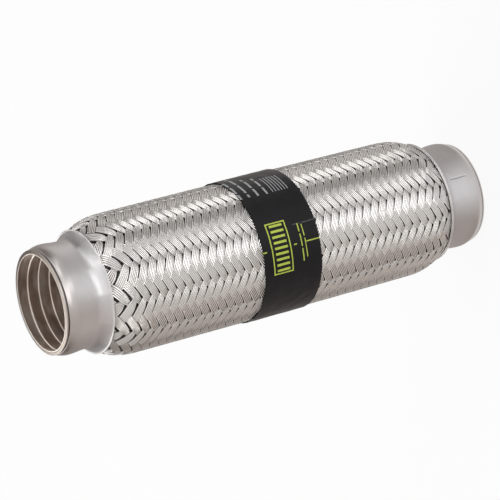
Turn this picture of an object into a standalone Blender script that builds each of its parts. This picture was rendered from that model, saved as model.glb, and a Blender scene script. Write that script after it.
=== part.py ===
"""Exhaust flex pipe: a short flexible coupling for a 45 mm exhaust line.

The pipe is an assembly of six pieces. A strip-wound liner carries the gas. A
corrugated bellows round it keeps the joint gas-tight. A woven wire braid limits
the bellows' stretch. Two crimped collars hold all three at the ends, and a
printed label is wrapped round the middle of the braid.

The pipe stands on its outlet rim: +Z runs along its axis, and the origin is at
the centre of that rim. Units are metres.
"""

import math

import bmesh
import bpy
from mathutils import Matrix

# Driving dimensions of the pipe
bore_diameter = 0.045
overall_length = 0.230
clearance = 0.0003

# Strip-wound liner
liner_strip = 0.0004
liner_lap = 0.0003
liner_pitch = 0.00575
liner_lip_wall = 0.0011
liner_lip_length = 0.0025
liner_end_inset = 0.0004
liner_sides = 16

# Bellows
bellows_wall = 0.00035
bellows_convolutions = 13
bellows_root_rise = 0.0012
bellows_crest_gap = 0.0009
bellows_cuff_inset = 0.0048
bellows_plain_end = 0.0063
bellows_sides = 16

# Collars: lengths from the rim, and rises above the pieces that they hold
collar_length = 0.022
collar_sheet = 0.0008
collar_sides = 24
collar_mouth_gap = 0.0004
collar_waist_gap = 0.0003
rim_land = 0.0012
bulge_rise = 0.0003
bulge_position = 0.006
waist_length = 0.003
knee_rise = 0.0011
knee_length = 0.0035
flare_length = 0.0035
flare_rise = 0.0037
rim_chamfer = 0.0002
crimp_jaws = 12
crimp_depth = 0.0003
jaw_coverage = 0.92
jaw_reach = 0.80

# Braid
braid_radius = 0.0330
braid_crown = 0.0002
braid_shoulder = 0.018
braid_fullness = 2.6
braid_ridge = 0.00055
braid_core = 0.0006
braid_end_wall = 0.0003
braid_end_inset = 0.0068
braid_strands = 24
braid_bar_pitch = 0.00442
weave_tuck = 0.0013
crimp_clearance = 0.00045

# Label wrapped round the braid
label_width = 0.031
label_film = 0.0003
label_offset = 0.0007

# Sizes that follow from the ones above
knee_position = collar_length - flare_length
waist_end = knee_position - knee_length
waist_start = waist_end - waist_length
bore_radius = bore_diameter / 2
liner_radius = bore_radius + liner_lap + liner_strip
cuff_radius = liner_radius + clearance + bellows_wall
braid_end_radius = cuff_radius + clearance + braid_end_wall
rim_radius = bore_radius + liner_lip_wall + collar_mouth_gap + collar_sheet
waist_radius = braid_end_radius + collar_waist_gap + collar_sheet
bulge_radius = waist_radius + bulge_rise
knee_radius = waist_radius + knee_rise
flare_radius = waist_radius + flare_rise
knee_slope = (knee_radius - waist_radius) / knee_length
flare_slope = (flare_radius - knee_radius) / flare_length
flare_wall = collar_sheet * math.sqrt(1 + flare_slope ** 2)


def clear_scene():
    for scene_object in list(bpy.data.objects):
        bpy.data.objects.remove(scene_object, do_unlink=True)


def new_collection(name):
    collection = bpy.data.collections.new(name)
    bpy.context.scene.collection.children.link(collection)
    return collection


def steel(name, color, roughness):
    return principled(name, color, roughness, metallic=1.0)


def principled(name, color, roughness, metallic):
    material = bpy.data.materials.new(name)
    material.use_nodes = True
    shader = material.node_tree.nodes["Principled BSDF"]
    shader.inputs["Base Color"].default_value = (*color, 1.0)
    shader.inputs["Roughness"].default_value = roughness
    shader.inputs["Metallic"].default_value = metallic
    return material


def object_from_bmesh(name, shape, collection, material=None):
    mesh = bpy.data.meshes.new(name)
    shape.to_mesh(mesh)
    shape.free()
    new_object = bpy.data.objects.new(name, mesh)
    collection.objects.link(new_object)
    if material is not None:
        mesh.materials.append(material)
    return new_object


def turned(name, profile, sides, collection, material, closed):
    """Turn a profile of (radius, height) points round Z with a Screw modifier."""
    shape = bmesh.new()
    points = [shape.verts.new((radius, 0, height)) for radius, height in profile]
    for lower, upper in zip(points, points[1:]):
        shape.edges.new((lower, upper))
    if closed:
        shape.edges.new((points[-1], points[0]))
    turned_object = object_from_bmesh(name, shape, collection, material)
    screw = turned_object.modifiers.new("Turn", "SCREW")
    screw.steps = sides
    screw.render_steps = sides
    screw.use_merge_vertices = True
    screw.merge_threshold = 0.00001
    return turned_object


def solidify_inwards(target, thickness):
    solidify = target.modifiers.new("Sheet", "SOLIDIFY")
    solidify.thickness = thickness
    solidify.offset = -1
    solidify.use_even_offset = True


def mirrored_heights(heights):
    """Heights measured from one end, and the same from the other end."""
    return heights + [overall_length - height for height in reversed(heights)]


def ease(fraction):
    """A smooth rise from 0 to 1, flat at both ends."""
    return 0.5 - 0.5 * math.cos(math.pi * fraction)


def ring(shape, height, radii):
    """A closed ring of points at one height, the first of them on +X."""
    angles = [2 * math.pi * column / len(radii) for column in range(len(radii))]
    return [
        shape.verts.new((radius * math.cos(angle), radius * math.sin(angle), height))
        for radius, angle in zip(radii, angles)
    ]


def join_rings(shape, lower, upper):
    """A band of faces between two rings. It faces outwards, or inwards with the rings swapped."""
    for column in range(len(lower)):
        after = (column + 1) % len(lower)
        shape.faces.new((lower[column], lower[after], upper[after], upper[column]))


def liner_bore(shape, low, high):
    """The strip's lapped edge climbs the bore as a helix, one pitch a turn.

    A column of points runs up the bore at each angle: the lower rim, then the
    recess and the lip of each lap that it crosses, then the upper rim. Returns
    the two rims.
    """
    rim_margin = 2 * liner_lap
    turns = max(4, round((high - low - 2 * rim_margin) / liner_pitch))
    pitch = (high - low - 2 * rim_margin) / turns
    columns = []
    for side in range(liner_sides):
        angle = 2 * math.pi * side / liner_sides
        points = [(bore_radius, low)]
        for turn in range(turns):
            lap = low + rim_margin + pitch * (turn + side / liner_sides)
            points.append((bore_radius + liner_lap, lap))
            points.append((bore_radius, lap + liner_lap))
        points.append((bore_radius, high))
        columns.append([
            shape.verts.new((radius * math.cos(angle), radius * math.sin(angle), height))
            for radius, height in points
        ])
    for column, beside in zip(columns, columns[1:]):
        for index in range(len(column) - 1):
            shape.faces.new((column[index], column[index + 1], beside[index + 1], beside[index]))

    # Past the last column each lap meets the next turn's lap in the first column
    last, first = columns[-1], columns[0]
    shape.faces.new((last[0], last[1], first[3], first[2], first[1], first[0]))
    for index in range(1, len(last) - 3):
        shape.faces.new((last[index], last[index + 1], first[index + 3], first[index + 2]))
    shape.faces.new((last[-3], last[-2], first[-1]))
    shape.faces.new((last[-2], last[-1], first[-1]))
    return [column[0] for column in columns], [column[-1] for column in columns]


def make_liner(parts, material):
    """Steel strip wound in a helix, each turn lapped on the last, with a thicker lip at each end."""
    shape = bmesh.new()
    low = liner_end_inset
    high = overall_length - liner_end_inset
    lip_radius = bore_radius + liner_lip_wall
    outline = [
        (lip_radius, low),
        (lip_radius, low + liner_lip_length),
        (liner_radius, low + liner_lip_length + liner_lap),
        (liner_radius, high - liner_lip_length - liner_lap),
        (lip_radius, high - liner_lip_length),
        (lip_radius, high),
    ]
    outside = [ring(shape, height, [radius] * liner_sides) for radius, height in outline]
    for lower, upper in zip(outside, outside[1:]):
        join_rings(shape, lower, upper)
    low_rim, high_rim = liner_bore(shape, low, high)
    join_rings(shape, low_rim, outside[0])
    join_rings(shape, outside[-1], high_rim)
    return object_from_bmesh("liner", shape, parts, material)


def collar_outline():
    """Outside radius of the collar against the distance from its rim."""
    outline = [(rim_radius, 0.0), (rim_radius, rim_land), (bulge_radius, bulge_position)]
    for step in (1, 2):
        fraction = step / 2
        radius = bulge_radius + (waist_radius - bulge_radius) * ease(fraction)
        outline.append((radius, bulge_position + (waist_start - bulge_position) * fraction))
    outline.append((waist_radius, waist_end))
    outline.append((knee_radius, knee_position))
    outline.append((flare_radius, collar_length))
    return outline


def crimp_cutter(name, rim_height, direction, collection):
    """A ring of plates whose inner faces shave the flats that the crimping jaws press.

    The jaws cover most of the way round, and most of the flare from its knee to its edge.
    """
    slope = math.atan(flare_slope)
    middle_height = (knee_position + collar_length) / 2
    middle_radius = (knee_radius + flare_radius) / 2
    length = flare_length / math.cos(slope) * jaw_reach
    width = 2 * math.tan(math.pi / crimp_jaws) * middle_radius * jaw_coverage
    thickness = 4 * crimp_depth
    shape = bmesh.new()
    for jaw in range(crimp_jaws):
        plate = bmesh.ops.create_cube(shape, size=1.0)["verts"]
        bmesh.ops.scale(shape, verts=plate, vec=(thickness, width, length))
        bmesh.ops.translate(shape, verts=plate, vec=(thickness / 2 - crimp_depth, 0, 0))
        tilt = Matrix.Rotation(direction * slope, 4, "Y")
        height = rim_height + direction * middle_height
        place = Matrix.Translation((middle_radius, 0, height))
        turn = Matrix.Rotation(2 * math.pi * jaw / crimp_jaws, 4, "Z")
        bmesh.ops.transform(shape, matrix=turn @ place @ tilt, verts=plate)
    cutter = object_from_bmesh(name, shape, collection)
    cutter.hide_render = True
    cutter.display_type = "WIRE"
    return cutter


def make_collar(name, rim_height, direction, parts, cutters, material):
    """A pressed sheet collar whose rim is at rim_height and whose flare faces direction."""
    profile = [(radius, rim_height + direction * height) for radius, height in collar_outline()]
    if direction > 0:
        profile.reverse()
    collar = turned(name, profile, collar_sides, parts, material, closed=False)
    solidify_inwards(collar, collar_sheet)
    chamfer = collar.modifiers.new("Rim chamfer", "BEVEL")
    chamfer.width = rim_chamfer
    chamfer.segments = 1
    chamfer.limit_method = "ANGLE"
    chamfer.angle_limit = math.radians(60)
    cutter = crimp_cutter(name + "_jaws", rim_height, direction, cutters)
    press = collar.modifiers.new("Crimp flats", "BOOLEAN")
    press.operation = "DIFFERENCE"
    press.object = cutter
    return collar


def barrel_radius(height):
    """Radius over the tops of the braid's strands."""
    depth = min(height, overall_length - height)
    edge_radius = flare_radius - flare_wall - crimp_clearance
    if depth < collar_length:
        fall = (collar_length - max(depth, knee_position)) * flare_slope
        fall += max(0.0, knee_position - depth) * knee_slope
        return max(braid_end_radius, edge_radius - fall)
    rise = min(1.0, (depth - collar_length) / braid_shoulder)
    radius = edge_radius + (braid_radius - edge_radius) * (1 - (1 - rise) ** braid_fullness)
    crown = math.sin(math.pi * height / overall_length) ** 2
    return radius + braid_crown * crown * rise


def strand_relief(height):
    """How far the weave stands open: 0 where it is crimped flat, 1 on the barrel."""
    depth = min(height, overall_length - height)
    return ease(min(1.0, max(0.0, (depth - collar_length) / (braid_shoulder / 3))))


def braid_wall(height):
    relief = strand_relief(height)
    return braid_end_wall + relief * (braid_ridge + braid_core - braid_end_wall)


def local_bar_pitch(height):
    """Bars of the weave stand further apart where the braid narrows.

    A wire keeps its length: where a turn is smaller round, it is longer along
    the pipe, as on a braid that is pulled over a thinner core.
    """
    full_turn = 2 * math.pi * (braid_radius + braid_crown)
    wire_squared = full_turn ** 2 + (braid_strands * braid_bar_pitch) ** 2
    turn = 2 * math.pi * barrel_radius(height)
    return math.sqrt(wire_squared - turn ** 2) / braid_strands


def weave_heights():
    """Heights of the rows of crossings, half a bar pitch apart, from collar to collar."""
    start = collar_length - weave_tuck
    slices = 400
    slice_height = (overall_length - 2 * start) / slices
    crossings = [0.0]
    for step in range(slices):
        middle = start + (step + 0.5) * slice_height
        crossings.append(crossings[-1] + 2 * slice_height / local_bar_pitch(middle))
    rows = 2 * max(4, round(crossings[-1] / 2))
    heights = []
    step = 0
    for row in range(rows + 1):
        wanted = crossings[-1] * row / rows
        while step < slices - 1 and crossings[step + 1] < wanted:
            step += 1
        share = (wanted - crossings[step]) / (crossings[step + 1] - crossings[step])
        heights.append(start + (step + share) * slice_height)
    return heights


def make_braid(parts, material):
    """One woven wall: strands in two directions, each passing over two and under two.

    Crossings lie on a lattice of half strand steps round the pipe and half bar
    pitches along it. A point where strands cross is a crown, and the points
    between crossings are valleys. A lattice square is folded along its crowns
    where both belong to one strand's float, and along its valleys elsewhere, so
    the floats stand as bars in herringbone rows.
    """
    columns = 2 * braid_strands
    heights = weave_heights()
    rows = len(heights) - 1
    shape = bmesh.new()

    def plain_ring(height, radius, count):
        return ring(shape, height, [radius] * count)

    def woven_ring(row):
        height = heights[row]
        crown = barrel_radius(height)
        valley = crown - braid_ridge * strand_relief(height)
        radii = [valley if (column + row) % 2 else crown for column in range(columns)]
        return ring(shape, height, radii)

    def close_end(outer, inner, facing):
        for step in range(len(inner)):
            after = (step + 1) % len(inner)
            left, middle, right = outer[2 * step], outer[2 * step + 1], outer[2 * after]
            for face in (
                (inner[step], left, middle),
                (inner[step], middle, inner[after]),
                (inner[after], middle, right),
            ):
                shape.faces.new(face[::facing])

    def weave(lower, upper, row):
        for column in range(columns):
            after = (column + 1) % columns
            a, b, c, d = lower[column], lower[after], upper[after], upper[column]
            rising_crowns = (column + row) % 2 == 0
            rising_float = column % 4 == 2 and rising_crowns
            falling_float = column % 4 == 0 and not rising_crowns
            on_float = rising_float or falling_float
            if rising_crowns == on_float:
                shape.faces.new((a, b, c))
                shape.faces.new((a, c, d))
            else:
                shape.faces.new((a, b, d))
                shape.faces.new((b, c, d))

    crimp_depths = [braid_end_inset, waist_end, knee_position]
    crimped = [
        plain_ring(height, barrel_radius(height), columns)
        for height in mirrored_heights(crimp_depths)
    ]
    woven = [woven_ring(row) for row in range(rows + 1)]
    low_crimp = crimped[:len(crimp_depths)] + woven[:1]
    high_crimp = woven[-1:] + crimped[len(crimp_depths):]
    for rings in (low_crimp, high_crimp):
        for lower, upper in zip(rings, rings[1:]):
            join_rings(shape, lower, upper)
    for row in range(rows):
        weave(woven[row], woven[row + 1], row)

    depths = crimp_depths + [collar_length]
    shoulder_shares = (0.25, 0.5, 1.0)
    depths += [collar_length + braid_shoulder * share for share in shoulder_shares]
    inner = [
        plain_ring(height, barrel_radius(height) - braid_wall(height), braid_strands)
        for height in mirrored_heights(depths)
    ]
    for lower, upper in zip(inner, inner[1:]):
        join_rings(shape, upper, lower)
    close_end(low_crimp[0], inner[0], -1)
    close_end(high_crimp[-1], inner[-1], 1)
    return object_from_bmesh("braid", shape, parts, material)


def bellows_profile():
    """Outside line of the bellows from its top cuff to its bottom cuff."""
    root = cuff_radius + bellows_root_rise
    start = collar_length + bellows_plain_end
    pitch = (overall_length - 2 * start) / bellows_convolutions
    points = [(cuff_radius, bellows_cuff_inset), (cuff_radius, waist_end), (root, start)]
    for convolution in range(bellows_convolutions):
        crest_height = start + (convolution + 0.5) * pitch
        inside_braid = barrel_radius(crest_height) - braid_wall(crest_height)
        points.append((inside_braid - bellows_crest_gap, crest_height))
        points.append((root, crest_height + pitch / 2))
    points.append((cuff_radius, overall_length - waist_end))
    points.append((cuff_radius, overall_length - bellows_cuff_inset))
    points.reverse()
    return points


def make_bellows(parts, material):
    bellows = turned("bellows", bellows_profile(), bellows_sides, parts, material, closed=False)
    solidify_inwards(bellows, bellows_wall)
    return bellows


def make_label(parts, material):
    """A printed film wrapped once round the middle of the braid."""
    middle = overall_length / 2 + label_offset
    low = middle - label_width / 2
    high = middle + label_width / 2
    inner = braid_radius + braid_crown + clearance
    outer = inner + label_film
    profile = [(outer, high), (outer, low), (inner, low), (inner, high)]
    return turned("label", profile, 2 * braid_strands, parts, material, closed=True)


def shade_round(target):
    """Smooth shading that keeps the sharp edges, for a piece whose faces exist already."""
    target.data.shade_smooth()
    target.data.set_sharp_from_angle(angle=math.radians(35))


def build_pipe():
    clear_scene()
    parts = new_collection("exhaust_flex_pipe")
    cutters = new_collection("cutters")
    collar_steel = steel("collar_steel", (0.62, 0.60, 0.59), 0.32)
    braid_steel = steel("braid_steel", (0.66, 0.64, 0.62), 0.38)
    bellows_steel = steel("bellows_steel", (0.58, 0.57, 0.56), 0.30)
    liner_steel = steel("liner_steel", (0.42, 0.37, 0.34), 0.34)
    label_film_black = principled("label_film", (0.03, 0.03, 0.035), 0.35, metallic=0.0)

    liner = make_liner(parts, liner_steel)
    bellows = make_bellows(parts, bellows_steel)
    braid = make_braid(parts, braid_steel)
    outlet_collar = make_collar("outlet_collar", 0.0, 1, parts, cutters, collar_steel)
    inlet_collar = make_collar("inlet_collar", overall_length, -1, parts, cutters, collar_steel)
    label = make_label(parts, label_film_black)
    shade_round(liner)
    shade_round(braid)
    for piece in (bellows, outlet_collar, inlet_collar, label):
        piece.modifiers["Turn"].use_smooth_shade = True


build_pipe()
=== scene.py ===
import math

import bmesh
import bpy
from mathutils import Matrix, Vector, noise


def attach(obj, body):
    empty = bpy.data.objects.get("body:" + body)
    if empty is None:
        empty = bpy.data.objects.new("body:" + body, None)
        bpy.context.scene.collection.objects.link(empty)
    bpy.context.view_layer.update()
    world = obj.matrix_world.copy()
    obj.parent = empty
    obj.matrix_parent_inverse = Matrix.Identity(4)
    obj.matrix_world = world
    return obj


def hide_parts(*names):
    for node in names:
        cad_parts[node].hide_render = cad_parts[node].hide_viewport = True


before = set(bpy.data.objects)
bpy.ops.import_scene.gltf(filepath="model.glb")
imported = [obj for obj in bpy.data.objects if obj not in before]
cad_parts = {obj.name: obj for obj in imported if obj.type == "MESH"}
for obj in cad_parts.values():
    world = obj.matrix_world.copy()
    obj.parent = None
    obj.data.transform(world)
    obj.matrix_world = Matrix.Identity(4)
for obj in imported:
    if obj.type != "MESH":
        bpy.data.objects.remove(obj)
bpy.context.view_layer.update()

# The pipe's own sizes, as the frame has them, in metres
pipe = {
    "length": 0.230,
    "boreRadius": 0.0225,
    "collarLength": 0.022,
    "braidRadius": 0.0330,
    "braidCrown": 0.0002,
    "braidShoulder": 0.018,
    "braidFullness": 2.6,
    "braidEndRadius": 0.02445,
    "edgeRadius": 0.02780,  # braid's top where it goes in under the collar
    "flareKnee": 0.0185,
    "flareSlope": 0.0026 / 0.0035,
    "kneeSlope": 0.0011 / 0.0035,
    "strands": 24,
    "barPitch": 0.00442,
}


# Nodes, written as sums
class Wire:  # one output of a node, so that sums on it are written as sums
    def __init__(self, board, socket):
        self.board = board
        self.socket = socket

    def __add__(self, other):
        return self.board.maths("ADD", self, other)

    def __radd__(self, other):
        return self.board.maths("ADD", other, self)

    def __sub__(self, other):
        return self.board.maths("SUBTRACT", self, other)

    def __rsub__(self, other):
        return self.board.maths("SUBTRACT", other, self)

    def __mul__(self, other):
        return self.board.maths("MULTIPLY", self, other)

    def __rmul__(self, other):
        return self.board.maths("MULTIPLY", other, self)

    def __truediv__(self, other):
        return self.board.maths("DIVIDE", self, other)

    def __rtruediv__(self, other):
        return self.board.maths("DIVIDE", other, self)

    def __pow__(self, other):
        return self.board.maths("POWER", self, other)

    def __gt__(self, other):
        return self.board.maths("GREATER_THAN", self, other)

    def __lt__(self, other):
        return self.board.maths("LESS_THAN", self, other)


class Board:  # adds nodes to one tree, for a material or for geometry
    def __init__(self, tree):
        self.tree = tree

    def node(self, kind, settings=None, inputs=None):
        made = self.tree.nodes.new(kind)
        for name, value in (settings or {}).items():
            if name == "stops":
                self.setStops(made.color_ramp, value)
            elif name == "captures":
                made.capture_items.new(value, "kept")
            else:
                setattr(made, name, value)
        for name, value in (inputs or {}).items():
            self.feed(made.inputs[name], value)
        return made

    def feed(self, socket, value):
        if isinstance(value, Wire):
            self.tree.links.new(value.socket, socket)
        else:
            socket.default_value = value

    def setStops(self, ramp, stops):
        while len(ramp.elements) > 1:
            ramp.elements.remove(ramp.elements[-1])
        for index, (place, colour) in enumerate(stops):
            stop = ramp.elements[0] if index == 0 else ramp.elements.new(place)
            stop.position = place
            stop.color = (*colour, 1)

    def wire(self, kind, settings=None, inputs=None, output=0):
        return Wire(self, self.node(kind, settings, inputs).outputs[output])

    def maths(self, operation, *values):
        return self.wire("ShaderNodeMath", {"operation": operation}, dict(enumerate(values)))

    def split(self, vector):
        parts = self.node("ShaderNodeSeparateXYZ", None, {0: vector})
        return [Wire(self, socket) for socket in parts.outputs]

    def joined(self, x, y, z):
        return self.wire("ShaderNodeCombineXYZ", None, {0: x, 1: y, 2: z})

    def mixColour(self, factor, first, second, blend="MIX"):
        settings = {"data_type": "RGBA", "blend_type": blend}
        return self.wire("ShaderNodeMix", settings, {0: factor, 6: first, 7: second}, 2)

    def mixVector(self, factor, first, second):
        return self.wire("ShaderNodeMix", {"data_type": "VECTOR"}, {0: factor, 4: first, 5: second}, 1)

    def smooth(self, value, low, high, first=0.0, last=1.0):
        settings = {"interpolation_type": "SMOOTHSTEP"}
        return self.wire("ShaderNodeMapRange", settings, {0: value, 1: low, 2: high, 3: first, 4: last})

    def noise(self, place, scale, detail=2.0, roughness=0.5):
        return self.wire("ShaderNodeTexNoise", None,
                         {"Vector": place, "Scale": scale, "Detail": detail, "Roughness": roughness})

    def bump(self, height, strength, distance):
        inputs = {"Strength": strength, "Distance": distance, "Height": height}
        return self.wire("ShaderNodeBump", None, inputs, "Normal")

    def toned(self, colour, tone):  # a colour made darker by a value
        return self.mixColour(1.0, colour, self.joined(tone, tone, tone), "MULTIPLY")


def plainMaterial(name):
    material = bpy.data.materials.new(name)
    material.use_nodes = True
    material.node_tree.nodes.clear()
    return Board(material.node_tree), material


def newMaterial(name, roughness, metallic):
    board, material = plainMaterial(name)
    shader = board.node("ShaderNodeBsdfPrincipled", None, {"Roughness": roughness, "Metallic": metallic})
    board.node("ShaderNodeOutputMaterial", None, {0: Wire(board, shader.outputs[0])})
    return material, board, shader


def objectPlace(board):
    return board.wire("ShaderNodeTexCoord", None, None, "Object")


def rimDepth(board, height):  # how far in from the nearer rim
    return board.maths("MINIMUM", height, pipe["length"] - height)


# Shapes
creaseAngle = math.radians(38)  # edges sharper than this stay sharp


def onRing(radius, angle, height):
    return (radius * math.cos(angle), radius * math.sin(angle), height)


def smoothShade(mesh):
    mesh.shade_smooth()
    mesh.set_sharp_from_angle(angle=creaseAngle)


def barrelRadius(height):  # over the tops of the strands, as in the frame
    depth = min(height, pipe["length"] - height)
    edge = pipe["edgeRadius"]
    if depth < pipe["collarLength"]:
        fall = (pipe["collarLength"] - max(depth, pipe["flareKnee"])) * pipe["flareSlope"]
        fall += max(0, pipe["flareKnee"] - depth) * pipe["kneeSlope"]
        return max(pipe["braidEndRadius"], edge - fall)
    rise = min(1, (depth - pipe["collarLength"]) / pipe["braidShoulder"])
    radius = edge + (pipe["braidRadius"] - edge) * (1 - (1 - rise) ** pipe["braidFullness"])
    return radius + pipe["braidCrown"] * math.sin(math.pi * height / pipe["length"]) ** 2 * rise


def localBarPitch(height):  # a wire keeps its length, so bars spread where the braid narrows
    fullTurn = 2 * math.pi * (pipe["braidRadius"] + pipe["braidCrown"])
    wireSquared = fullTurn ** 2 + (pipe["strands"] * pipe["barPitch"]) ** 2
    return math.sqrt(wireSquared - (2 * math.pi * barrelRadius(height)) ** 2) / pipe["strands"]


def meshPiece(name, points, faces, material):
    mesh = bpy.data.meshes.new(name)
    mesh.from_pydata(points, [], faces)
    mesh.validate()
    piece = bpy.data.objects.new(name, mesh)
    bpy.context.scene.collection.objects.link(piece)
    mesh.materials.append(material)
    smoothShade(mesh)
    return piece


def turnedPiece(name, loop, sides, material, press=None):  # loop: closed, outside downwards
    points = []
    faces = []
    for side in range(sides):
        angle = 2 * math.pi * side / sides
        for radius, height in loop:
            if press:
                radius = press(angle, radius, height)
            points.append(onRing(radius, angle, height))
    count = len(loop)
    for side in range(sides):
        after = (side + 1) % sides
        for index in range(count):
            below = (index + 1) % count
            faces.append((side * count + index, side * count + below,
                          after * count + below, after * count + index))
    return meshPiece(name, points, faces, material)


def seat(piece, slotName, *nodes):
    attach(piece, "root")
    if nodes:
        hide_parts(*nodes)


def socketNames(tree):
    return {item.name: item.identifier for item in tree.interface.items_tree if item.in_out == "INPUT"}


# Braid: 24 strands each way, every one over two and under two
braidSizes = {
    "Strands": 12,  # in one piece; four pieces make the braid
    "Stations": 430,
    "Loop Points": 12,
    "Strand Width": 0.955,  # share of the room between two strands
    "Strand Thickness": 0.00040,
    "Strand Waist": 0.33,  # how much a strand narrows where it dips
    "Wander": 0.035,  # how far a strand strays, as a share of its room
    "Seed": 4.0,
}
weaveTuck = 0.0013  # how far in under a collar's edge the first row of crossings lies
weaveStart = -4  # the strands start this many rows further in
rowSteps = 4  # points of the weave's guide line for each row
slices = 1200  # thin slices of the pipe's length, in which the rows are counted


def weaveGuide():
    # Height and radius at each step of the rows of crossings, half a bar pitch apart
    start = pipe["collarLength"] - weaveTuck
    thick = (pipe["length"] - 2 * start) / slices
    crossings = [0.0]
    for step in range(slices):
        middle = start + (step + 0.5) * thick
        crossings.append(crossings[-1] + 2 * thick / localBarPitch(middle))
    rows = 2 * round(crossings[-1] / 2)
    guide = []
    endPitch = localBarPitch(pipe["collarLength"]) / 2
    step = 0
    for index in range((rows - 2 * weaveStart) * rowSteps + 1):
        row = weaveStart + index / rowSteps
        if row <= 0:
            height = start + row * endPitch
        elif row >= rows:
            height = pipe["length"] - start + (row - rows) * endPitch
        else:
            wanted = crossings[-1] * row / rows
            while step < slices - 1 and crossings[step + 1] < wanted:
                step += 1
            share = (wanted - crossings[step]) / (crossings[step + 1] - crossings[step])
            height = start + (step + share) * thick
        guide.append((barrelRadius(height), 0, height))
    return guide, rows


def strandTree():
    tree = bpy.data.node_groups.new("braidStrands", "GeometryNodeTree")
    tree.interface.new_socket("Geometry", in_out="OUTPUT", socket_type="NodeSocketGeometry")
    tree.interface.new_socket("Guide", in_out="INPUT", socket_type="NodeSocketGeometry")
    for name, value in braidSizes.items():
        kind = "NodeSocketInt" if isinstance(value, int) else "NodeSocketFloat"
        tree.interface.new_socket(name, in_out="INPUT", socket_type=kind).default_value = value
    for name in ("First Strand", "Turn Direction", "Rows", "First Row", "Row Steps", "Over Column"):
        tree.interface.new_socket(name, in_out="INPUT", socket_type="NodeSocketFloat")
    tree.interface.new_socket("Finish", in_out="INPUT", socket_type="NodeSocketMaterial")
    board = Board(tree)
    group = board.node("NodeGroupInput")
    given = {socket.name: Wire(board, socket) for socket in group.outputs if socket.name}

    # One straight tube, whose points keep their places along and around it
    line = board.wire("GeometryNodeCurvePrimitiveLine", None, {"Start": (0, 0, 0), "End": (1, 0, 0)})
    line = board.wire("GeometryNodeResampleCurve", None, {"Curve": line, "Count": given["Stations"]})
    share = board.wire("GeometryNodeSplineParameter")
    along = board.node("GeometryNodeCaptureAttribute", {"captures": "FLOAT"}, {0: line, 1: share})
    circle = board.wire("GeometryNodeCurvePrimitiveCircle", None,
                        {"Resolution": given["Loop Points"], "Radius": 1.0})
    around = board.node("GeometryNodeCaptureAttribute", {"captures": "FLOAT"}, {0: circle, 1: share})
    tube = board.wire("GeometryNodeCurveToMesh", None,
                      {"Curve": Wire(board, along.outputs[0]),
                       "Profile Curve": Wire(board, around.outputs[0]), "Fill Caps": True})
    tube = board.wire("GeometryNodeSetShadeSmooth", None, {"Geometry": tube, "Shade Smooth": True})
    points = board.wire("GeometryNodePoints", None, {"Count": given["Strands"]})
    number = board.wire("GeometryNodeInputIndex")
    numbered = board.node("GeometryNodeCaptureAttribute", {"captures": "FLOAT"}, {0: points, 1: number})
    strands = board.wire("GeometryNodeInstanceOnPoints", None,
                         {"Points": Wire(board, numbered.outputs[0]), "Instance": tube})
    strands = board.wire("GeometryNodeRealizeInstances", None, {"Geometry": strands})

    # Lattice places: columns go round the pipe, rows go along it
    fullTurn = 2 * math.pi
    alongShare = Wire(board, along.outputs[1])
    halfStep = 0.5 / braidSizes["Loop Points"]
    angle = (Wire(board, around.outputs[1]) + halfStep) * fullTurn - math.pi / 2
    strand = Wire(board, numbered.outputs[1]) + given["First Strand"]
    sign = given["Turn Direction"]
    centreRow = given["First Row"] + alongShare * (given["Rows"] - 2 * given["First Row"])
    centreColumn = strand * 2 + sign * centreRow
    cosine = board.maths("COSINE", angle)
    sine = board.maths("SINE", angle)
    sidePower, liftPower = 0.35, 0.22  # 1 is a round strand, and less is a flat one with round edges
    side = board.maths("SIGN", cosine) * board.maths("ABSOLUTE", cosine) ** sidePower
    lift = board.maths("SIGN", sine) * board.maths("ABSOLUTE", sine) ** liftPower

    # Over two and under two: a steep wave with flat tops
    beat = (centreColumn - given["Over Column"]) * (math.pi / 2)
    swing = board.maths("COSINE", beat)
    steepness, levelling = 2.6, 1.011  # levelling brings the flat tops back to 1
    wave = board.maths("TANH", swing * steepness) * levelling

    # Each strand strays and swells a little, more so where it comes out of the collar
    ends = board.maths("MINIMUM", centreRow, given["Rows"] - centreRow)
    loose = board.smooth(ends, 1.0, 9.0, 2.1, 1.0)
    stray = board.joined(strand * 3.7 + given["Seed"], sign * 11.3, centreRow * 0.22)
    strayNoise = board.noise(stray, 1.0, 1.0) - 0.5
    swell = board.joined(strand * 5.1, sign * 7.9 + given["Seed"], centreRow * 0.31)
    swellNoise = board.noise(swell, 1.0, 1.0) - 0.5
    # It narrows more at the end where it goes down than where it comes up
    leaning = board.smooth(board.maths("SINE", beat) * sign, 0.9, -0.9, 0.2, 1.0)
    narrow = given["Strand Waist"] * board.smooth(ends, 2.0, 11.0, 1.3, 1.0) * leaning
    narrow = narrow * (1 - board.maths("ABSOLUTE", swing)) ** 1.5
    width = given["Strand Width"] * (1 - narrow) * (1 + swellNoise * 0.1)
    width = width * board.smooth(ends, 1.0, 10.0, 0.9, 1.0)
    across = side * width * 0.5 + strayNoise * given["Wander"] * 2 * loose
    row = centreRow - sign * across
    column = centreColumn + across

    # The guide gives height and radius at any row
    step = (row - given["First Row"]) * given["Row Steps"]
    low = board.maths("FLOOR", step)
    place = board.wire("GeometryNodeInputPosition")
    reads = {"data_type": "FLOAT_VECTOR", "domain": "POINT", "clamp": True}

    def guideAt(index):
        inputs = {"Geometry": given["Guide"], "Value": place, "Index": index}
        return board.wire("GeometryNodeSampleIndex", reads, inputs)

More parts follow.
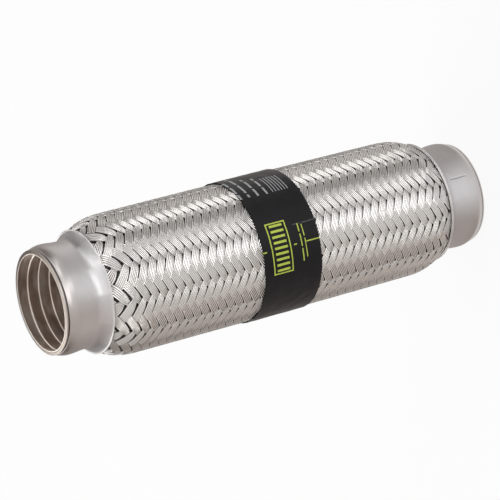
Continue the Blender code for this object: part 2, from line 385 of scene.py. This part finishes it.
    guideSpot = board.split(board.mixVector(step - low, guideAt(low), guideAt(low + 1)))
    radius, height = guideSpot[0], guideSpot[2]
    thickness = given["Strand Thickness"]
    bundle = lift * thickness * 0.5
    lower = board.smooth(ends, 0.0, 6.0, 0.55, 1.0)
    clearance, unevenness = 0.00005, 0.00012  # below the guide, and up or down from strand to strand
    radius = radius - thickness - clearance + wave * lower * thickness * 0.5 + bundle
    radius = radius + swellNoise * unevenness
    turn = column * (math.pi / pipe["strands"])
    spot = board.joined(radius * board.maths("COSINE", turn), radius * board.maths("SINE", turn), height)
    shaped = board.wire("GeometryNodeSetPosition", None, {"Geometry": strands, "Position": spot})
    for name, value in (("across", side), ("lift", lift), ("strand", strand + sign * 40),
                        ("run", centreColumn), ("wave", wave)):
        shaped = board.wire("GeometryNodeStoreNamedAttribute", {"data_type": "FLOAT", "domain": "POINT"},
                            {"Geometry": shaped, "Name": name, "Value": value})
    shaped = board.wire("GeometryNodeRealizeInstances", None, {"Geometry": shaped})
    shaped = board.wire("GeometryNodeSetMaterial", None, {"Geometry": shaped, "Material": given["Finish"]})
    board.node("NodeGroupOutput", None, {0: shaped})
    return tree


braidFinish = {
    "wires": 5,  # ridges across one strand
    "wireDepth": 0.00027,
    "colour": (0.82, 0.808, 0.79, 1),
    "roughness": 0.16,
    # Painted shade, each from a low to a high value and what is left of the light at both
    "creaseWithPaintedShading": (0.0, 0.4, 0.68, 1.0),
    "sides": (-0.8, 0.1, 0.05, 1.0),
    "paintedDipShades": (-0.8, 0.1, 0.06, 1.0),
}


def braidSteel():
    look = braidFinish
    material, board, shader = newMaterial("braidSteel", 0.3, 1.0)

    def kept(name):
        return board.wire("ShaderNodeAttribute", {"attribute_name": name}, None, "Fac")

    across = kept("across")
    strand = kept("strand")
    run = kept("run")
    waver = board.noise(board.joined(strand * 2.3, run * 0.5, 0.0), 1.0, 1.0) - 0.5
    wirePlace = (across + 1 + waver * 0.25) * (look["wires"] / 2)
    ridge = board.maths("ABSOLUTE", board.maths("SINE", wirePlace * math.pi))
    board.feed(shader.inputs["Normal"], board.bump(ridge, 1.0, look["wireDepth"]))
    streak = board.noise(board.joined(board.maths("FLOOR", wirePlace), strand * 3.1, run * 0.4), 1.0, 2.0)
    patch = board.noise(board.joined(strand * 1.7, run * 0.21, 0.0), 1.0, 1.0)
    # painted shade in the hollows between the wires
    creaseWithPaintedShading = board.smooth(ridge, *look["creaseWithPaintedShading"])
    edge = board.smooth(kept("lift"), *look["sides"])  # painted shade: little light reaches a strand's sides
    paintedDipShade = board.smooth(kept("wave"), *look["paintedDipShades"])  # painted shade where it goes under the others
    # random tone of the steel, darkened by the painted shade above
    tone = (0.99 + (streak - 0.5) * 0.16 + (patch - 0.5) * 0.1) * creaseWithPaintedShading * edge * paintedDipShade
    board.feed(shader.inputs["Base Color"], board.toned(look["colour"], tone))
    board.feed(shader.inputs["Roughness"], look["roughness"] + (streak - 0.5) * 0.07)
    return material


def makeBraid():
    guide, rows = weaveGuide()
    tree = strandTree()
    names = socketNames(tree)
    finish = braidSteel()
    made = []
    half = braidSizes["Strands"]
    for label, sign, overColumn, first in (("risingA", 1, 2.5, 0), ("risingB", 1, 2.5, half),
                                           ("fallingA", -1, 0.5, 0), ("fallingB", -1, 0.5, half)):
        mesh = bpy.data.meshes.new("braid_" + label)
        mesh.from_pydata(guide, [(index, index + 1) for index in range(len(guide) - 1)], [])
        piece = bpy.data.objects.new("braid_" + label, mesh)
        bpy.context.scene.collection.objects.link(piece)
        nodes = piece.modifiers.new("Strands", "NODES")
        nodes.node_group = tree
        for name, value in braidSizes.items():
            nodes[names[name]] = value
        places = {"First Strand": first, "Turn Direction": sign, "Over Column": overColumn,
                  "Rows": rows, "First Row": weaveStart, "Row Steps": rowSteps}
        for name, value in places.items():
            nodes[names[name]] = float(value)
        nodes[names["Finish"]] = finish
        made.append(asPlainMesh(piece))
        seat(made[-1], "braid_steel", "braid")
    print("braid:", sum(len(piece.data.polygons) for piece in made), "faces")


def asPlainMesh(piece):  # the modifier's result, kept as a mesh of its own
    view = bpy.context.evaluated_depsgraph_get()
    mesh = bpy.data.meshes.new_from_object(piece.evaluated_get(view), depsgraph=view)
    piece.modifiers.clear()
    piece.data = mesh
    return piece


# Collars: pressed sheet, a rolled rim, a bulge, a waist and a flare crimped on the braid
collarSizes = {
    "sides": 240,
    "curveSteps": 6,
    "sheet": 0.0006,
    "outline": [(0.02456, 0.00175), (0.02476, 0.0023), (0.02530, 0.0036), (0.02576, 0.006), (0.02566, 0.009),
                (0.02534, 0.012), (0.02528, 0.0150), (0.02618, 0.0182), (0.02862, 0.0218), (0.02866, 0.022)],
    "farShift": 0.0005,  # the outlet's collar reaches this much further over the lip
    "jaws": 12,
    "jawTurn": math.radians(7),
    "pressDepth": 0.00026,
    "pressStart": 0.0140,
    "pressRise": 0.0022,
    "pressEnd": 0.0216,
    "pressFall": 0.0010,
    "edgePress": 0.35,  # what is left of the press at pressEnd
    # A dent by a tool: from and to height, angle round the pipe, half its width
    "toolMark": (0.0072, 0.0168, math.radians(-74), 0.0007),
    "toolMarkDepth": 0.00035,
    "toolMarkEnd": 0.0012,
    # Finish: the colours, and the depths from the rim between which each comes in
    "steel": (0.625, 0.615, 0.62, 1),
    "heated": (0.555, 0.52, 0.505, 1),
    "heatedDepth": (0.0005, 0.011),
    # painted highlight along the crimped edge, and the depths where it comes in
    "paintedCrimpHighlight": (0.78, 0.77, 0.76, 1),
    "paintedCrimpHighlightDepth": (0.0213, 0.0218),
    "workedDepth": (0.0155, 0.0195),
}


def smoothLine(stops, steps):  # a soft curve through (radius, height) stops
    line = []
    for index in range(len(stops) - 1):
        before = stops[max(0, index - 1)]
        first = stops[index]
        last = stops[index + 1]
        after = stops[min(len(stops) - 1, index + 2)]
        for step in range(steps):
            t = step / steps
            spot = []
            for axis in (0, 1):
                a, b, c, d = before[axis], first[axis], last[axis], after[axis]
                spot.append(0.5 * (2 * b + (c - a) * t + (2 * a - 5 * b + 4 * c - d) * t ** 2
                                   + (3 * b - a - 3 * c + d) * t ** 3))
            line.append(tuple(spot))
    return line + [stops[-1]]


def offsetLine(line, distance):  # moves a line towards its right-hand side
    moved = []
    for index, (radius, height) in enumerate(line):
        before = line[max(0, index - 1)]
        after = line[min(len(line) - 1, index + 1)]
        dr = after[0] - before[0]
        dh = after[1] - before[1]
        size = math.hypot(dr, dh)
        moved.append((radius - distance * dh / size, height + distance * dr / size))
    return moved


def roundEnd(first, last, steps):  # half a turn of edge between the two skins of a sheet
    middle = ((first[0] + last[0]) / 2, (first[1] + last[1]) / 2)
    x = (first[0] - middle[0], first[1] - middle[1])
    y = (-x[1], x[0])
    bulge = 0.55  # 1 is a half circle
    spots = []
    for step in range(1, steps):
        angle = math.pi * step / steps
        spots.append((middle[0] + x[0] * math.cos(angle) + y[0] * math.sin(angle) * bulge,
                      middle[1] + x[1] * math.cos(angle) + y[1] * math.sin(angle) * bulge))
    return spots


def collarPress(angle, radius, height, depth):
    # Each jaw leaves a flat on the flare, and a soft ridge stays between two flats
    size = collarSizes
    spread = 2 * math.pi / size["jaws"]
    off = (angle - size["jawTurn"] + spread / 2) % spread - spread / 2
    share = min(1, max(0, (depth - size["pressStart"]) / size["pressRise"]))
    share *= min(1, max(0, (size["pressEnd"] - depth) / size["pressFall"] + size["edgePress"]))
    share = share * share * (3 - 2 * share)
    return radius - share * size["pressDepth"] * (1 - (off / (spread / 2)) ** 2)


def collarSteel():
    size = collarSizes
    material, board, shader = newMaterial("collarSteel", 0.4, 1.0)
    place = objectPlace(board)
    x, y, z = board.split(place)
    around = board.maths("ARCTAN2", y, x)
    ring = board.joined(board.maths("COSINE", around) * 2, board.maths("SINE", around) * 2, z * 9000)
    brush = board.noise(ring, 1.0, 2.0)
    cloud = board.noise(place, 90.0, 4.0, 0.6)
    depth = rimDepth(board, z)
    heat = board.smooth(depth + (cloud - 0.5) * 0.004, *size["heatedDepth"], 1.0, 0.0)
    colour = board.mixColour(heat, size["steel"], size["heated"])
    paintedCrimpHighlight = board.smooth(depth, *size["paintedCrimpHighlightDepth"])  # painted highlight along the crimped edge
    colour = board.mixColour(paintedCrimpHighlight, colour, size["paintedCrimpHighlight"])
    tone = 0.96 + (brush - 0.5) * 0.1 + (cloud - 0.5) * 0.12
    board.feed(shader.inputs["Base Color"], board.toned(colour, tone))
    worked = board.smooth(depth, *size["workedDepth"], 0.0, 0.1)  # the flare is duller, from the crimping
    board.feed(shader.inputs["Roughness"], 0.33 + worked + (cloud - 0.5) * 0.14 + (brush - 0.5) * 0.08)
    bump = board.bump(brush, 0.35, 0.00003)
    low, high, turn, reach = size["toolMark"]
    off = board.maths("ABSOLUTE", (around - turn) * pipe["boreRadius"])
    dent = board.smooth(off, 0.0, reach) * -1 + 1
    fade = size["toolMarkEnd"]
    dent = dent * board.smooth(z, low, low + fade) * board.smooth(z, high, high - fade)
    dented = {"Strength": 1.0, "Distance": size["toolMarkDepth"], "Height": dent, "Normal": bump}
    board.feed(shader.inputs["Normal"], board.wire("ShaderNodeBump", {"invert": True}, dented, "Normal"))
    return material


def makeCollars():
    finish = collarSteel()
    steps = collarSizes["curveSteps"]
    for name, node, rim, direction in (("collar_outlet", "outlet_collar", 0.0, 1),
                                       ("collar_inlet", "inlet_collar", pipe["length"], -1)):
        shift = collarSizes["farShift"] if direction > 0 else 0
        (firstRadius, firstDepth), *others = collarSizes["outline"]
        outside = smoothLine([(firstRadius, firstDepth - shift)] + others, steps)
        inside = offsetLine(outside, collarSizes["sheet"])
        inside[0] = (outside[0][0] - collarSizes["sheet"], outside[0][1])
        loop = outside + roundEnd(outside[-1], inside[-1], steps) + inside[::-1]
        loop += roundEnd(inside[0], outside[0], steps)
        depths = list(loop)
        if direction > 0:
            depths.reverse()

        def press(angle, radius, height, rim=rim, direction=direction):
            return collarPress(angle, radius, height, (height - rim) * direction)

        made = turnedPiece(name, [(radius, rim + direction * depth) for radius, depth in depths],
                           collarSizes["sides"], finish, press)
        seat(made, "collar_steel", node)
    print("collars made")


# Liner: steel strip wound in a helix, each turn lapped on the last
linerSizes = {
    "sides": 120,
    "lipRadius": 0.02450,  # the rolled lip closes over the collar's edge
    "lipLength": 0.0008,
    "lipRound": 0.0004,
    "wall": 0.00085,
    "endInset": 0.0001,
    "pitch": 0.00562,
    "phase": 0.73,
    "turn": [(0.0, 0.0), (0.025, 0.00004), (0.05, 0.00048), (0.09, 0.00054), (0.5, 0.00038), (0.8, 0.0001),
             (0.93, 0.0)],  # share of a turn, and how far the strip lies outside the bore
    "edgeHighlightPoints": 3,  # points of a turn that lie on its edge, which gets a painted highlight
    "nearPoints": 0.000002,  # points nearer than this are joined
}

linerTones = {
    "smoked": (0.56, 0.46, 0.395, 1),
    "clean": (0.86, 0.80, 0.76, 1),
    # painted highlight on the strip's lap edges
    "edge": (0.98, 0.94, 0.90, 1),
    "lipInside": (0.66, 0.60, 0.55, 1),
    "lipFace": (0.30, 0.26, 0.225, 1),
    # painted shade in the fold of the rolled lip
    "lipFoldShade": (0.14, 0.12, 0.10, 1),
    "lipOutside": (0.52, 0.48, 0.45, 1),
    "lipDepth": (0.0010, 0.0008),  # from the rim
    "faceReach": (0.0228, 0.0233),  # from the pipe's axis, as the next two
    "foldReach": 0.0231,
    "outsideReach": (0.0242, 0.0244),
}


def linerSteel():
    tones = linerTones
    material, board, shader = newMaterial("linerSteel", 0.32, 1.0)
    place = objectPlace(board)
    x, y, z = board.split(place)
    cloud = board.noise(place, 120.0, 4.0, 0.6)
    brush = board.noise(board.joined(x * 40, y * 40, z * 7000), 1.0, 2.0)
    # the strip's lap edges, which get a painted highlight
    edge = board.wire("ShaderNodeAttribute", {"attribute_name": "edge"}, None, "Fac")
    smoke = board.noise(board.joined(x, y, z * 2.2), 62.0)
    tone = 0.97 + (cloud - 0.5) * 0.4 + (brush - 0.5) * 0.3
    strip = board.mixColour(board.smooth(smoke, 0.36, 0.62), tones["smoked"], tones["clean"])
    colour = board.mixColour(edge, strip, tones["edge"])
    depth = rimDepth(board, z)
    lip = board.smooth(depth, *tones["lipDepth"])
    reach = board.maths("SQRT", x * x + y * y)
    # painted shade: a dark line along the lip's fold
    paintedFoldShade = board.smooth(board.maths("ABSOLUTE", reach - tones["foldReach"]), 0.0004, 0.0001)
    face = board.smooth(reach, *tones["faceReach"])
    outside = board.smooth(reach, *tones["outsideReach"])
    lipColour = board.mixColour(face, tones["lipInside"], tones["lipFace"])
    lipColour = board.mixColour(paintedFoldShade, lipColour, tones["lipFoldShade"])
    lipColour = board.mixColour(outside, lipColour, tones["lipOutside"])
    colour = board.mixColour(lip, colour, lipColour)
    board.feed(shader.inputs["Base Color"], board.toned(colour, tone))
    board.feed(shader.inputs["Roughness"], 0.33 + (cloud - 0.5) * 0.2)
    board.feed(shader.inputs["Normal"], board.bump(brush, 0.3, 0.00003))
    return material


def makeLiner():
    size = linerSizes
    low = size["endInset"]
    high = pipe["length"] - size["endInset"]
    sides = size["sides"]
    turns = math.ceil((high - low) / size["pitch"]) + 1
    perTurn = len(size["turn"])
    rows = []  # rows of points along the bore's helix, one row for each share of a turn
    # 1 where a point lies on a lap edge that gets a painted highlight
    paintedEdgeHighlight = []
    for turn in range(-2, turns):
        for index, (share, recess) in enumerate(size["turn"]):
            row = []
            paintedEdgeHighlight += [1.0 if index < size["edgeHighlightPoints"] else 0.0] * sides
            for side in range(sides):
                height = low + size["pitch"] * (turn + share + size["phase"] + side / sides)
                inside = low < height < high
                radius = pipe["boreRadius"] + (recess if inside else 0)
                angle = 2 * math.pi * side / sides
                row.append(onRing(radius, angle, min(high, max(low, height))))
            rows.append(row)
    outer = []
    lip = size["lipRadius"]
    wall = pipe["boreRadius"] + size["wall"]
    soft = size["lipRound"]
    bead = [(lip - soft, 0.0), (lip - soft * 0.3, soft * 0.3), (lip, soft),
            (lip - soft * 0.1, size["lipLength"]), (wall, size["lipLength"] + size["endInset"])]
    bead = [(radius, low + rise) for radius, rise in bead]
    for radius, height in bead + [(radius, low + high - height) for radius, height in bead[::-1]]:
        outer.append([onRing(radius, 2 * math.pi * side / sides, height) for side in range(sides)])
    points = [spot for row in rows for spot in row]
    faces = []
    count = len(rows)
    for index in range(count - 1):
        for side in range(sides):
            after = (side + 1) % sides
            jump = perTurn if after == 0 else 0
            top = index + 1
            if top + jump >= count:
                continue
            faces.append((index * sides + side, top * sides + side,
                          (top + jump) * sides + after, (index + jump) * sides + after))
    base = len(points)
    points += [spot for row in outer for spot in row]
    paintedEdgeHighlight += [0.0] * (len(outer) * sides)
    for index in range(len(outer) - 1):
        for side in range(sides):
            after = (side + 1) % sides
            faces.append((base + index * sides + side, base + index * sides + after,
                          base + (index + 1) * sides + after, base + (index + 1) * sides + side))
    rims = [[], []]
    for height, rim in ((low, rims[0]), (high, rims[1])):
        for side in range(sides):
            rim.append(len(points))
            points.append(onRing(pipe["boreRadius"], 2 * math.pi * side / sides, height))
            paintedEdgeHighlight.append(0.0)
    for side in range(sides):
        after = (side + 1) % sides
        faces.append((rims[0][side], rims[0][after], base + after, base + side))
        last = base + (len(outer) - 1) * sides
        faces.append((last + side, last + after, rims[1][after], rims[1][side]))
    piece = meshPiece("liner_strip", points, faces, linerSteel())
    piece.data.attributes.new("edge", "FLOAT", "POINT").data.foreach_set("value", paintedEdgeHighlight)
    joinDoubles(piece, size["nearPoints"])
    seat(piece, "liner_steel", "liner")
    print("liner:", len(piece.data.polygons), "faces")


def joinDoubles(piece, distance):
    shape = bmesh.new()
    shape.from_mesh(piece.data)
    bmesh.ops.remove_doubles(shape, verts=shape.verts, dist=distance)
    bmesh.ops.dissolve_degenerate(shape, edges=shape.edges, dist=distance)
    shape.to_mesh(piece.data)
    shape.free()
    smoothShade(piece.data)


# Bellows: seen only in the gaps of the weave
def bellowsSteel():
    material, board, shader = newMaterial("bellowsSteel", 0.4, 1.0)
    cloud = board.noise(objectPlace(board), 160.0, 3.0)
    # darker than the collars' steel: partly the bellows' own colour, partly painted shade for what shows
    # through the gaps
    colour = board.mixColour(cloud, (0.30, 0.29, 0.28, 1), (0.42, 0.41, 0.40, 1))
    board.feed(shader.inputs["Base Color"], colour)
    board.feed(shader.inputs["Roughness"], 0.36 + cloud * 0.14)
    return material


def finishBellows():
    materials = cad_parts["bellows"].data.materials
    materials.clear()
    materials.append(bellowsSteel())
    print("bellows finished")


# Label: a film wrapped once round the braid, with plain printed marks
labelSizes = {
    "low": 0.1002,
    "high": 0.1312,
    "inner": 0.0335,
    "outer": 0.0338,
    "sides": 300,
    "rows": 26,
    "edgeRound": 0.00012,
    "sag": 0.00016,  # how deep the film dips between the strands
}

# Places on the film: lowest and highest height in mm, then from and to in degrees round from the front
labelMarks = {
    "frame": (115.9, 126.5, -27.4, 14.3),
    "frameLine": 0.62,
    "bars": (117.7, 124.6, -25.2, 12.4),
    "barCount": 9,
    "barShare": 0.44,
    "greenLines": [(129.1, 131.5, -7.9, -6.9), (112.7, 114.3, -7.2, -6.2), (100.2, 107.4, -7.0, -6.0),
                   (109.7, 110.3, 2.2, 9.0), (109.7, 110.3, -9.5, 0.6), (109.7, 110.3, -21.5, -11.0),
                   (107.7, 108.2, -2.0, 7.6), (107.7, 108.2, -18.8, -3.6)],
    "paleLines": [(129.9, 131.0, 41, 47), (129.9, 131.0, 49, 59), (129.9, 131.0, 61, 70),
                  (125.4, 126.5, 41.5, 45), (125.4, 126.5, 47, 60),
                  (125.4, 126.5, 62, 73), (125.4, 126.5, 75, 80),
                  (120.7, 121.8, 41, 50), (120.7, 121.8, 52, 63), (120.7, 121.8, 65, 69),
                  (116.0, 117.1, 40.5, 49), (116.0, 117.1, 51, 60), (116.0, 117.1, 62, 66)],
    "rulings": (104.9, 113.4, 41, 62),
    "rulingPitch": 1.6,
    "rulingShare": 0.30,
    "creaseTurn": 8.8,  # degrees round from the front
    "creaseTop": (113.5, 111.5),
    "black": (0.007, 0.007, 0.009, 1),
    "blackWorn": (0.013, 0.013, 0.015, 1),
    # painted highlight along the film's crease
    "paintedCreaseHighlight": (0.22, 0.22, 0.23, 1),
    "green": (0.64, 0.76, 0.11, 1),
    "pale": (0.62, 0.63, 0.65, 1),
}


def labelFilm():
    material, board, shader = newMaterial("labelFilm", 0.3, 0.0)
    shader.inputs["Specular IOR Level"].default_value = 0.2
    place = objectPlace(board)
    x, y, z = board.split(place)
    height = z * 1000
    turn = board.maths("ARCTAN2", x, y * -1) * (180 / math.pi)
    perDegree = math.radians(1) * labelSizes["outer"] * 1000

    def block(low, high, first, last, line=0.0):  # 1 inside a block of the film, drawn in by line
        reach = line / perDegree
        along = (height > low + line) * (height < high - line)
        return along * (turn > first + reach) * (turn < last - reach)

    marks = labelMarks
    green = block(*marks["frame"]) - block(*marks["frame"], marks["frameLine"])
    low, high, first, last = marks["bars"]
    step = (last - first) / (marks["barCount"] - 1 + marks["barShare"])
    bar = board.maths("FRACT", (turn - first) / step) < marks["barShare"]
    green = green + block(*marks["bars"]) * bar
    for line in marks["greenLines"]:
        green = green + block(*line)
    pale = board.maths("FRACT", (height - marks["rulings"][0]) / marks["rulingPitch"])
    pale = (pale < marks["rulingShare"]) * block(*marks["rulings"])
    for line in marks["paleLines"]:
        pale = pale + block(*line)

    # Worn print, scuffs where the film is rubbed, and one crease along the pipe, bumped, with a painted
    # highlight along it
    cloud = board.noise(place, 55.0, 4.0, 0.6)
    speck = board.noise(place, 1400.0, 2.0)
    ink = board.smooth(speck, 0.30, 0.42, 0.72, 1.0)
    astray = board.maths("ABSOLUTE", turn - marks["creaseTurn"] - (cloud - 0.5) * 2)
    creaseWithPaintedShading = board.smooth(astray, 0.0, 0.9, 1.0, 0.0)
    creaseWithPaintedShading = creaseWithPaintedShading * board.smooth(height, *marks["creaseTop"]) * board.smooth(speck, 0.3, 0.6)
    film = board.mixColour(cloud, marks["black"], marks["blackWorn"])
    # painted highlight along the crease
    film = board.mixColour(creaseWithPaintedShading * 0.5, film, marks["paintedCreaseHighlight"])
    film = board.mixColour(pale * ink * 0.62, film, marks["pale"])
    film = board.mixColour(green * ink, film, marks["green"])
    board.feed(shader.inputs["Base Color"], film)
    board.feed(shader.inputs["Roughness"], 0.30 + (cloud - 0.5) * 0.22)
    board.feed(shader.inputs["Normal"], board.bump(cloud + creaseWithPaintedShading * 0.3, 0.5, 0.0004))
    return material


def makeLabel():
    size = labelSizes
    rows = size["rows"]
    soft = size["edgeRound"]
    top = size["high"] - soft
    rise = (top - soft - size["low"]) / rows
    loop = [(size["outer"] - soft, size["high"])]
    loop += [(size["outer"], top - rise * row) for row in range(rows + 1)]
    loop += [(size["outer"] - soft, size["low"]), (size["inner"], size["low"]), (size["inner"], size["high"])]

    def drawn(angle, radius, height):  # the film's outer face follows the strands below a little
        if radius < size["outer"] - 0.00001:
            return radius
        spot = Vector((math.cos(angle), math.sin(angle), height / size["outer"])) * 9
        return radius - size["sag"] * min(1, max(0, 0.5 + noise.noise(spot)))

    piece = turnedPiece("label_wrap", loop, size["sides"], labelFilm(), drawn)
    seat(piece, "label_film", "label")
    print("label made")


cameraSizes = {
    "sensor": 36,
    "lens": 202.15,
    "place": (0, -1.15469, 0.75549),
    "turns": (-25.0455, 57.7987, -118.8495),  # degrees about x, y and z
}


def makeCamera():
    size = cameraSizes
    lens = bpy.data.cameras.new("camera")
    lens.sensor_width = size["sensor"]
    lens.lens = size["lens"]
    lens.clip_start = 0.05
    lens.clip_end = 30
    camera = bpy.data.objects.new("camera", lens)
    bpy.context.scene.collection.objects.link(camera)
    camera.location = size["place"]
    camera.rotation_euler = [math.radians(turn) for turn in size["turns"]]
    bpy.context.scene.camera = camera


def whiteSeen(board, other, share=1.0):  # white for the camera, for metal and for glass
    white = board.wire("ShaderNodeEmission" if share < 1 else "ShaderNodeBackground", None,
                       {"Color": (1, 1, 1, 1), "Strength": 1.0})
    path = board.node("ShaderNodeLightPath")
    camera, glossy, glass = [Wire(board, path.outputs[name])
                             for name in ("Is Camera Ray", "Is Glossy Ray", "Is Transmission Ray")]
    seen = board.maths("MAXIMUM", camera, board.maths("MAXIMUM", glossy, glass))
    return board.wire("ShaderNodeMixShader", None, {0: seen * share, 1: other, 2: white})


# Studio: a white room with a few cards, which only the metal sees
studioSizes = {
    "skyLevel": 0.3,  # what the white room gives a dull surface
    "floorTone": (0.9, 0.9, 0.9, 1),
    "floorReach": 4,
    "floorShare": 0.9,  # of the white that the floor shows of itself, which leaves it a shadow
    "cardHeight": 0.0006,
    "cardSteps": 60,
    "warmth": (0.12, 0.19),  # how much green and blue a wholly warm tone loses
    # Card tones: degrees round from the front, then the tone there and how warm it is
    "footTones": [(8, 1.0, 0), (55, 0.50, 0.5), (210, 0.50, 0.8), (315, 0.49, 0.9), (356, 1.0, 0)],
    "footReach": (0.0262, 0.071),
    "matTones": [(5, 1.0, 0), (32, 0.90, 0.1), (50, 0.60, 0.3), (72, 0.60, 0.4), (92, 0.73, 0.4),
                 (112, 0.88, 0.4), (140, 0.47, 0.6), (185, 0.36, 0.9), (236, 0.42, 0.9), (281, 0.67, 0.9),
                 (312, 0.60, 0.9), (338, 0.70, 0.6), (359, 1.0, 0)],
    "matReach": (0.071, 1.5),
    "wallTones": [(0, 0.78, 0.1), (33, 0.77, 0.1), (56, 0.64, 0.3), (73, 0.14, 0.5), (100, 0.12, 0.6),
                  (135, 0.32, 0.8), (185, 0.18, 0.9), (236, 0.12, 0.9), (262, 0.45, 0.9), (281, 0.68, 0.9),
                  (323, 0.69, 0.5), (347, 0.86, 0.1), (360, 0.78, 0.1)],
    "wallReach": 1.5,
    "wallTop": 2.31,
}


def makeStage():
    size = studioSizes
    world = bpy.data.worlds.new("studio")
    bpy.context.scene.world = world
    world.use_nodes = True
    world.node_tree.nodes.clear()
    board = Board(world.node_tree)
    soft = board.wire("ShaderNodeBackground", None, {"Color": (1, 1, 1, 1), "Strength": size["skyLevel"]})
    board.node("ShaderNodeOutputWorld", None, {0: whiteSeen(board, soft)})

    board, material = plainMaterial("floorPaint")
    matt = board.wire("ShaderNodeBsdfDiffuse", None, {"Color": size["floorTone"]})
    board.node("ShaderNodeOutputMaterial", None, {0: whiteSeen(board, matt, size["floorShare"])})
    far = size["floorReach"]
    corners = [(-far, -far, 0), (far, -far, 0), (far, far, 0), (-far, far, 0)]
    floor = meshPiece("floor", corners, [(0, 1, 2, 3)], material)

    for name, reaches, tones in (("footMat", size["footReach"], size["footTones"]),
                                 ("greyMat", size["matReach"], size["matTones"])):
        inner, outer = reaches
        makeCard(name, (inner, size["cardHeight"]), (outer, size["cardHeight"]), tones)
    makeCard("darkWall", (size["wallReach"], 0.0), (size["wallReach"], size["wallTop"]), size["wallTones"])


def makeCard(name, first, last, tones):  # a band round the pipe, from one (reach, height) to another
    board, material = plainMaterial(name)
    x, y = board.split(objectPlace(board))[:2]
    around = board.maths("ARCTAN2", x, y * -1) / (2 * math.pi)
    lessGreen, lessBlue = studioSizes["warmth"]
    stops = [(turn / 360, (tone, tone * (1 - lessGreen * warm), tone * (1 - lessBlue * warm)))
             for turn, tone, warm in tones]
    tone = board.wire("ShaderNodeValToRGB", {"stops": stops}, {0: board.maths("FRACT", around + 1)})
    light = board.wire("ShaderNodeEmission", None, {"Color": tone, "Strength": 1.0})
    board.node("ShaderNodeOutputMaterial", None, {0: light})
    firstTurn, lastTurn = tones[0][0], tones[-1][0]
    points = []
    steps = studioSizes["cardSteps"]
    for step in range(steps + 1):
        angle = math.radians(firstTurn + (lastTurn - firstTurn) * step / steps - 90)
        for reach, height in (first, last):
            points.append(onRing(reach, angle, height))
    faces = [(2 * step, 2 * step + 1, 2 * step + 3, 2 * step + 2) for step in range(steps)]
    card = meshPiece(name, points, faces, material)
    card.visible_camera = False
    card.visible_diffuse = False
    card.visible_shadow = name == "darkWall"


# Lamps: degrees round from the front, degrees up, width and height of the light, and its
# brightness as the metal sees it, where white paper is 1
lamps = {
    "frontLamp": (18, 3, (0.22, 0.9), 1.4),
    "highLamp": (0, 30, (0.4, 0.45), 1.49),
    "sideLamp": (60, 27, (0.3, 0.3), 1.54),
    "lowLamp": (75, 10, (0.3, 0.3), 1.11),
    "upperLamp": (52, 42, (0.3, 0.3), 2.26),
    "farLamp": (125, 48, (0.6, 0.6), 1.42),
    "backLamp": (208, 43, (0.9, 0.6), 2.6),
}
lampDistance = 0.9  # from the middle of the pipe


def makeLamp(name, turn, rise, size, level):
    lamp = bpy.data.lights.new(name, "AREA")
    lamp.shape = "RECTANGLE"
    lamp.size = size[0]
    lamp.size_y = size[1]
    lamp.energy = level * math.pi * size[0] * size[1]
    holder = bpy.data.objects.new(name, lamp)
    bpy.context.scene.collection.objects.link(holder)
    away = Vector((math.sin(turn) * math.cos(rise), -math.cos(turn) * math.cos(rise), math.sin(rise)))
    holder.location = Vector((0, 0, pipe["length"] / 2)) + away * lampDistance
    holder.rotation_euler = away.to_track_quat("Z", "Y").to_euler()
    holder.visible_camera = False


makeCamera()
makeBraid()
makeCollars()
makeLiner()
makeLabel()
finishBellows()
makeStage()
for lampName, (turn, rise, size, level) in lamps.items():
    makeLamp(lampName, math.radians(turn), math.radians(rise), size, level)
print("stage and lamps made")

bpy.context.scene.view_settings.view_transform = "Standard"
